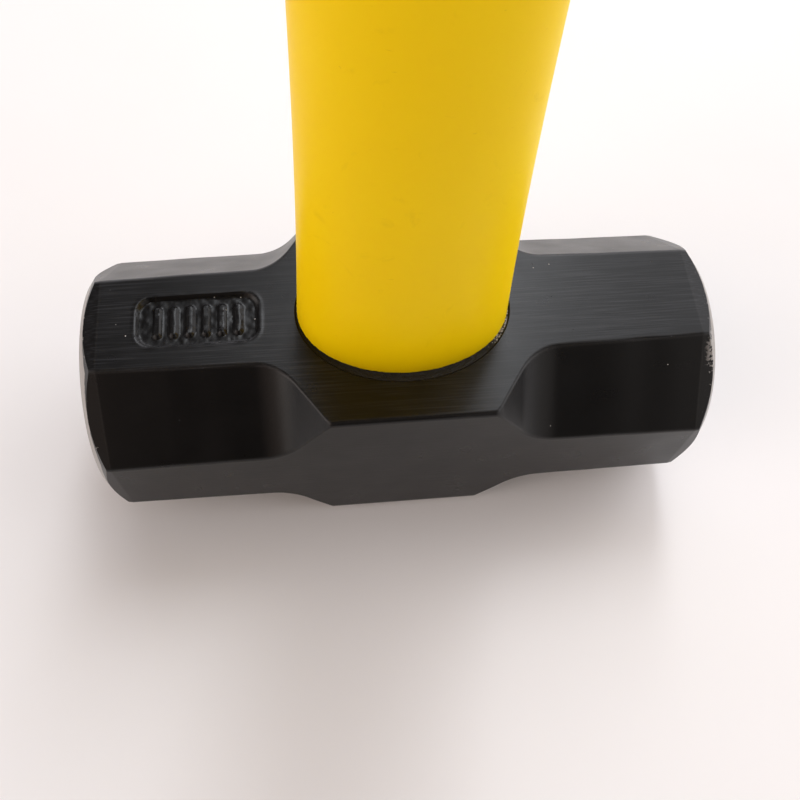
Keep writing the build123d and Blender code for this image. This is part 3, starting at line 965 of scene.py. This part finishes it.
def outward(mesh):
    """Merges doubles and turns every face outwards."""
    work = bmesh.new()
    work.from_mesh(mesh)
    bmesh.ops.remove_doubles(work, verts=work.verts, dist=1e-6)
    bmesh.ops.recalc_face_normals(work, faces=work.faces)
    work.to_mesh(mesh)
    work.free()


def evaluated(item, name):
    """The object's mesh with its modifiers applied, as a new plain mesh."""
    graph = bpy.context.evaluated_depsgraph_get()
    mesh = bpy.data.meshes.new_from_object(item.evaluated_get(graph))
    mesh.name = name
    return mesh


def cut_from(mesh, cutter):
    """The mesh with the cutter taken away; the cutter goes too."""
    blank = new_object(mesh.name + "_blank", mesh)
    cut = blank.modifiers.new("cut", "BOOLEAN")
    cut.operation = "DIFFERENCE"
    cut.solver = "EXACT"
    cut.object = cutter
    final = evaluated(blank, mesh.name)
    bpy.data.objects.remove(blank)
    bpy.data.objects.remove(cutter)
    return final


def finish_piece(name, mesh, material, node, sharp=35):
    """Gives a mesh its material and shading, and hangs it on the body in its CAD node's place."""
    if not mesh.polygons:
        raise RuntimeError(f"{name} came out empty")
    mesh.materials.clear()
    mesh.materials.append(material)
    mesh.shade_smooth()
    mesh.set_sharp_from_angle(angle=math.radians(sharp))
    piece = new_object(name, mesh)
    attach(piece, BODY)
    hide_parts(node)
    return piece


def seal_mesh(s):
    """Putty pressed into the eye's mouth: lumpy on top, smooth where it meets steel and jacket."""
    around, across = 420, 12
    level = SEAL_HIGH.z
    mouth, throat, _ = EYE_PROFILE
    slope = (mouth[1] - throat[1]) / (throat[0] - mouth[0])
    grow = slope * (level - HEAD_TOP + throat[0] * MM)
    out_x, out_y = throat[1] * MM + grow, throat[2] * MM + grow
    in_x, in_y = s.shoulder_x - 0.5 * MM, s.shoulder_y - 0.5 * MM
    rings = []
    for k in range(across + 1):
        share = k / across
        ring = []
        for t in turns(around):
            x = (out_x + share * (in_x - out_x)) * math.cos(t)
            y = (out_y + share * (in_y - out_y)) * math.sin(t)
            lump = noise.fractal(Vector((x, y, 0.0)) / (0.9 * MM), 0.8, 2.0, 3)
            swell = noise.noise(Vector((x, y, 0.02)) / (4 * MM))
            free = math.sin(math.pi * min(share, 0.9))
            ring.append((x, y, level + (0.16 * lump + 0.12 * swell - 0.25 * share) * free * MM))
        rings.append(ring)
    for half_x, half_y in ((in_x, in_y), (throat[1] * MM, throat[2] * MM)):
        rings.append(oval(half_x, half_y, SEAL_LOW.z, around))
    points = [point for ring in rings for point in ring]
    return mesh_of("eye_seal_putty", points, ring_faces(len(rings), len(rings), around))


class SLEDGE_OT_head(bpy.types.Operator):
    """Build the forged head with its eye, chamfers, ground faces and weight panel"""

    bl_idname = "sledge.head"
    bl_label = "Forged head"

    def execute(self, context):
        s = context.scene.sledge_head
        mesh = build_head_mesh(s)
        outward(mesh)
        cutter = eye_cutter()
        outward(cutter.data)
        finish_piece("hammer_head", cut_from(mesh, cutter), lacquered_steel(s), "head", 32)
        return {"FINISHED"}


class SLEDGE_OT_jacket(bpy.types.Operator):
    """Build the moulded jacket: flared shoulder, slim shaft and the seat under the grip"""

    bl_idname = "sledge.jacket"
    bl_label = "Moulded jacket"

    def execute(self, context):
        s = context.scene.sledge_handle
        aspect = s.shoulder_y / s.shoulder_x
        top, low = HEAD_TOP / MM, JACKET_LOW.z / MM
        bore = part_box("core_rod")[1].x / MM
        bore_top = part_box("core_rod")[1].z / MM
        end, grip = JACKET_HIGH.z / MM, GRIP_LOW.z / MM
        wide, slim = s.shoulder_x / MM, s.shaft_x / MM
        tuck, under = s.tuck / MM, s.tuck_low / MM
        places = {
            "Bore end": (0, 0, bore_top),
            "Bore top": (bore, bore, bore_top),
            "Bore low": (bore, bore, low),
            "Spigot low": (*SPIGOT, low),
            "Spigot top": (*SPIGOT, top - under),
            "Rim low": (wide - tuck, (wide - tuck) * aspect, top - under),
            "Shoulder": (wide, wide * aspect, top + 0.4),
            "Shaft low": (slim, slim * aspect, top + s.flare / MM),
            "Shaft top": (slim, slim * aspect, grip),
            "Seat low": (*SEAT, grip),
            "Seat top": (*SEAT, end),
            "End": (0, 0, end),
        }
        stations = (
            ("Bore end", 1, 0, 0), ("Bore top", 1, 0, 0), ("Bore low", 4, 0, 0),
            ("Spigot low", 1, 0, 0), ("Spigot top", 2, 0, 0), ("Rim low", 2, 0, 0),
            ("Shoulder", 6, 1, -1), ("Shaft low", 40, 1, 0), ("Shaft top", 14, 0, 0),
            ("Seat low", 1, 0, 0), ("Seat top", 2, 0, 0), ("End", 1, 0, 0),
        )
        material = moulded_plastic(s)
        tree = tube_tree("handle_jacket_tube", stations, band_tree(), material)
        values = station_values(
            places,
            **{"Around": s.around, "Unevenness": s.unevenness, "Uneven below": HEAD_TOP + 0.3 * MM,
               "Parting line": s.parting},
        )
        mesh = grown("jacket_moulding", tree, values)
        outward(mesh)
        finish_piece("jacket_moulding", mesh, material, "handle_jacket")
        return {"FINISHED"}


class SLEDGE_OT_seal(bpy.types.Operator):
    """Press the sealing putty into the eye's mouth round the jacket"""

    bl_idname = "sledge.seal"
    bl_label = "Sealing putty"

    def execute(self, context):
        s = context.scene.sledge_handle
        mesh = seal_mesh(s)
        outward(mesh)
        finish_piece("eye_seal_putty", mesh, trowelled_putty(s), "eye_seal", 60)
        return {"FINISHED"}


class SLEDGE_OT_core(bpy.types.Operator):
    """Finish the glass-fibre rod and the resin cast round it in the eye"""

    bl_idname = "sledge.core"
    bl_label = "Core rod and resin"

    def execute(self, context):
        s = context.scene.sledge_handle
        for node, material in (("core_rod", pultruded_fibre(s)), ("epoxy_fill", cast_resin(s))):
            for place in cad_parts[node].material_slots:
                place.material = material
        return {"FINISHED"}


class SLEDGE_OT_grip(bpy.types.Operator):
    """Build the rubber grip sleeve with its collar, raised lozenges, pommel and hanging hole"""

    bl_idname = "sledge.grip"
    bl_label = "Grip sleeve"

    def execute(self, context):
        s = context.scene.sledge_grip
        low, end = GRIP_LOW.z / MM, GRIP_HIGH.z / MM
        x, y = s.half_x / MM, s.half_y / MM
        out = s.collar_out / MM
        seat_end = end - s.end_wall / MM
        collar_top = low + s.collar / MM
        pommel_low = end - s.pommel / MM
        pommel_x, pommel_y = GRIP_HIGH.x / MM, GRIP_HIGH.y / MM
        pommel_full = pommel_low + 16                # the flare takes 16 mm to reach full size
        lip = 1.6
        round_off = s.corner / MM
        middle = ((x + pommel_x) / 2, (y + pommel_y) / 2, (pommel_low + pommel_full) / 2)
        places = {
            "Seat end": (0, 0, seat_end),
            "Seat top": (*SEAT, seat_end),
            "Seat low": (*SEAT, low),
            "Lip in": (x + out - lip, y + out - lip, low),
            "Lip out": (x + out, y + out, low + lip),
            "Collar top": (x + out, y + out, collar_top - 1.2),
            "Collar shoulder": (x + out - 0.9, y + out - 0.9, collar_top),
            "Body low": (x, y, collar_top + 0.8),
            "Body top": (x, y, pommel_low),
            "Flare": middle,
            "Pommel low": (pommel_x, pommel_y, pommel_full),
            "Pommel top": (pommel_x, pommel_y, end - round_off),
            "Crest": (pommel_x - round_off, pommel_y - round_off, end),
            "End": (0, 0, end),
        }
        stations = (
            ("Seat end", 1, 0, 0), ("Seat top", 1, 0, 0), ("Seat low", 3, 0, 0),
            ("Lip in", 1, 0, 0), ("Lip out", 5, 1, -1), ("Collar top", 3, 0, 0),
            ("Collar shoulder", 4, -1, 1), ("Body low", 4, 1, -1), ("Body top", 20, 0, 0),
            ("Flare", 8, -1, 0), ("Pommel low", 8, 1, 0), ("Pommel top", 6, 0, 0),
            ("Crest", 8, -1, 1), ("End", 6, 0, 0),
        )
        material = moulded_rubber(s)
        tree = tube_tree("grip_sleeve_tube", stations, band_tree(), material)
        values = station_values(
            places,
            **{"Around": 128, "Unevenness": 0.0, "Uneven below": 0.0, "Parting line": 0.12 * MM},
        )
        mesh = grown("grip_rubber", tree, values)
        outward(mesh)
        hole_z = GRIP_HIGH.z - s.hole_from_end
        mouth = ((1.15, 1.3), (1.0, 1.3), (0.93, 1.06), (0.85, 1.0))   # share of depth, of radius
        rings = []
        for share, flare in [(-a, b) for a, b in mouth] + list(reversed(mouth)):
            y, r = share * GRIP_HIGH.y, s.hole * flare
            rings.append([(r * math.cos(t), y, hole_z + r * math.sin(t)) for t in turns(48)])
        drill = new_object("hole_cutter", lofted("hole_cutter", rings))
        outward(drill.data)
        finish_piece("grip_rubber", cut_from(mesh, drill), material, "grip_sleeve", 40)
        span = s.row_pitch * (2 * s.row_pairs - 1)
        bottom = (collar_top + pommel_low) / 2 * MM - span / 2
        tread = grown(
            "grip_tread", tread_tree(material),
            {"Half X": s.half_x, "Half Y": s.half_y, "Bottom": bottom, "Row pitch": s.row_pitch,
             "Row pairs": s.row_pairs, "Around": s.around, "Lozenge width": s.lozenge_x,
             "Lozenge height": s.lozenge_z, "Rise": s.rise, "Sunk": 0.4 * MM},
        )
        outward(tread)
        finish_piece("grip_tread", tread, material, "grip_sleeve", 60)
        return {"FINISHED"}


# ---------------------------------------------------------------- stage


def direction(azimuth, elevation):
    """A unit vector at an azimuth, from +Y towards +X, and an elevation."""
    flat = math.cos(elevation)
    return Vector(
        (math.sin(azimuth) * flat, math.cos(azimuth) * flat, math.sin(elevation))
    )


GLOWS = (                          # name, azimuth, elevation, bright within, dark past, colour, strength
    ("right wall", 75, 15, 15, 50, "#FCFBFF", 2.45),
    ("far wall", 5, 5, 20, 45, "#FBF8FF", 1.85),
    ("high behind", 28, 57, 8, 30, "#FAFBFF", 1.6),
    ("left wall", -100, 0, 10, 40, "#FFF5EE", 2.35),
    ("left high", -95, 38, 15, 38, "#FFF6F4", 0.8),
    ("front right", 125, 25, 12, 35, "#FFF6F0", 0.85),
    ("front left", -130, 30, 12, 35, "#FFE2D2", 0.75),
)
GLOOM = ("#FFF4EC", 0.05)                        # the rest of the room: colour and strength


def studio_world(s):
    """A plain room round the hammer: soft glows on a dim ground, so that the lacquer has both
    something bright and something dark to mirror."""
    world = bpy.data.worlds.new("studio")
    world.use_nodes = True
    tree = world.node_tree
    add = partial(add_node, tree)
    towards = add("ShaderNodeTexCoord").outputs["Generated"]
    code, strength = GLOOM
    room = [c * strength for c in srgb(code)[:3]]
    for name, azimuth, elevation, inner, outer, code, strength in GLOWS:
        facing = direction(math.radians(azimuth), math.radians(elevation))
        near = add("ShaderNodeVectorMath", {0: towards, 1: facing}, operation="DOT_PRODUCT", label=name)
        share = add(
            "ShaderNodeMapRange",
            {"Value": near, "From Min": math.cos(math.radians(outer)),
             "From Max": math.cos(math.radians(inner)), "To Max": strength},
            interpolation_type="SMOOTHSTEP",
        )
        glow = add("ShaderNodeVectorMath", {0: srgb(code)[:3], "Scale": share}, operation="SCALE")
        room = add("ShaderNodeVectorMath", {0: room, 1: glow}, operation="ADD")
    feed(tree.nodes["Background"], {"Color": room})
    return world


class SLEDGE_OT_stage(bpy.types.Operator):
    """Set the pale ground, the soft studio light and the camera"""

    bl_idname = "sledge.stage"
    bl_label = "Ground, light and camera"

    def execute(self, context):
        s = context.scene.sledge_stage
        scene = context.scene
        scene.view_settings.view_transform = "Standard"
        camera = bpy.data.cameras.new("camera")
        camera.lens = s.lens
        camera.sensor_width = 36.0
        camera.clip_start = 0.005
        camera.clip_end = 60.0
        view = new_object("camera", camera)
        aim = HEAD_MIDDLE + Vector((s.aim_x, s.aim_y, 0))
        back = direction(s.azimuth + math.pi, s.elevation)
        look = (-back).to_track_quat("-Z", "Y").to_matrix() @ Matrix.Rotation(s.roll, 3, "Z")
        view.matrix_world = Matrix.Translation(aim + back * s.distance) @ look.to_4x4()
        scene.camera = view

        size = 6.0
        corners = [(-size, -size, 0), (size, -size, 0), (size, size, 0), (-size, size, 0)]
        ground = new_object("ground", mesh_of("ground", corners, [(0, 1, 2, 3)]))
        ground.data.materials.append(painted_board(s))

        light = bpy.data.lights.new("key", "AREA")
        light.shape = "RECTANGLE"
        light.size = s.key_width
        light.size_y = s.key_height
        light.energy = s.key_power
        light.color = s.key_colour[:3]
        key = new_object("key", light)
        towards = direction(s.key_azimuth, s.key_elevation)
        key.matrix_world = (
            Matrix.Translation(HEAD_MIDDLE + towards * s.key_distance)
            @ towards.to_track_quat("Z", "Y").to_matrix().to_4x4()
        )
        key.visible_camera = False
        scene.world = studio_world(s)
        return {"FINISHED"}


STEPS = (SLEDGE_OT_head, SLEDGE_OT_jacket, SLEDGE_OT_seal, SLEDGE_OT_core, SLEDGE_OT_grip,
         SLEDGE_OT_stage)


class SLEDGE_PT_pieces(bpy.types.Panel):
    """Lists the hammer's pieces and their main sizes"""

    bl_idname = "SLEDGE_PT_pieces"
    bl_label = "Sledgehammer"
    bl_space_type = "VIEW_3D"
    bl_region_type = "UI"
    bl_category = "Sledgehammer"

    def draw(self, context):
        column = self.layout.column()
        for step in STEPS:
            column.operator(step.bl_idname)
        for settings in (context.scene.sledge_head, context.scene.sledge_handle,
                         context.scene.sledge_grip, context.scene.sledge_stage):
            column.separator()
            for name in settings.bl_rna.properties.keys():
                if name not in ("rna_type", "name"):
                    column.prop(settings, name)


SETTINGS = {
    "sledge_head": HeadSettings,
    "sledge_handle": HandleSettings,
    "sledge_grip": GripSettings,
    "sledge_stage": StageSettings,
}
CLASSES = (*SETTINGS.values(), *STEPS, SLEDGE_PT_pieces)


def register():
    for item in CLASSES:
        bpy.utils.register_class(item)
    for name, kind in SETTINGS.items():
        setattr(bpy.types.Scene, name, bpy.props.PointerProperty(type=kind))


def unregister():
    for name in SETTINGS:
        delattr(bpy.types.Scene, name)
    for item in reversed(CLASSES):
        bpy.utils.unregister_class(item)


def main():
    register()
    bpy.ops.sledge.head()
    bpy.ops.sledge.jacket()
    bpy.ops.sledge.seal()
    bpy.ops.sledge.core()
    bpy.ops.sledge.grip()
    bpy.ops.sledge.stage()


if __name__ == "__main__":
    main()
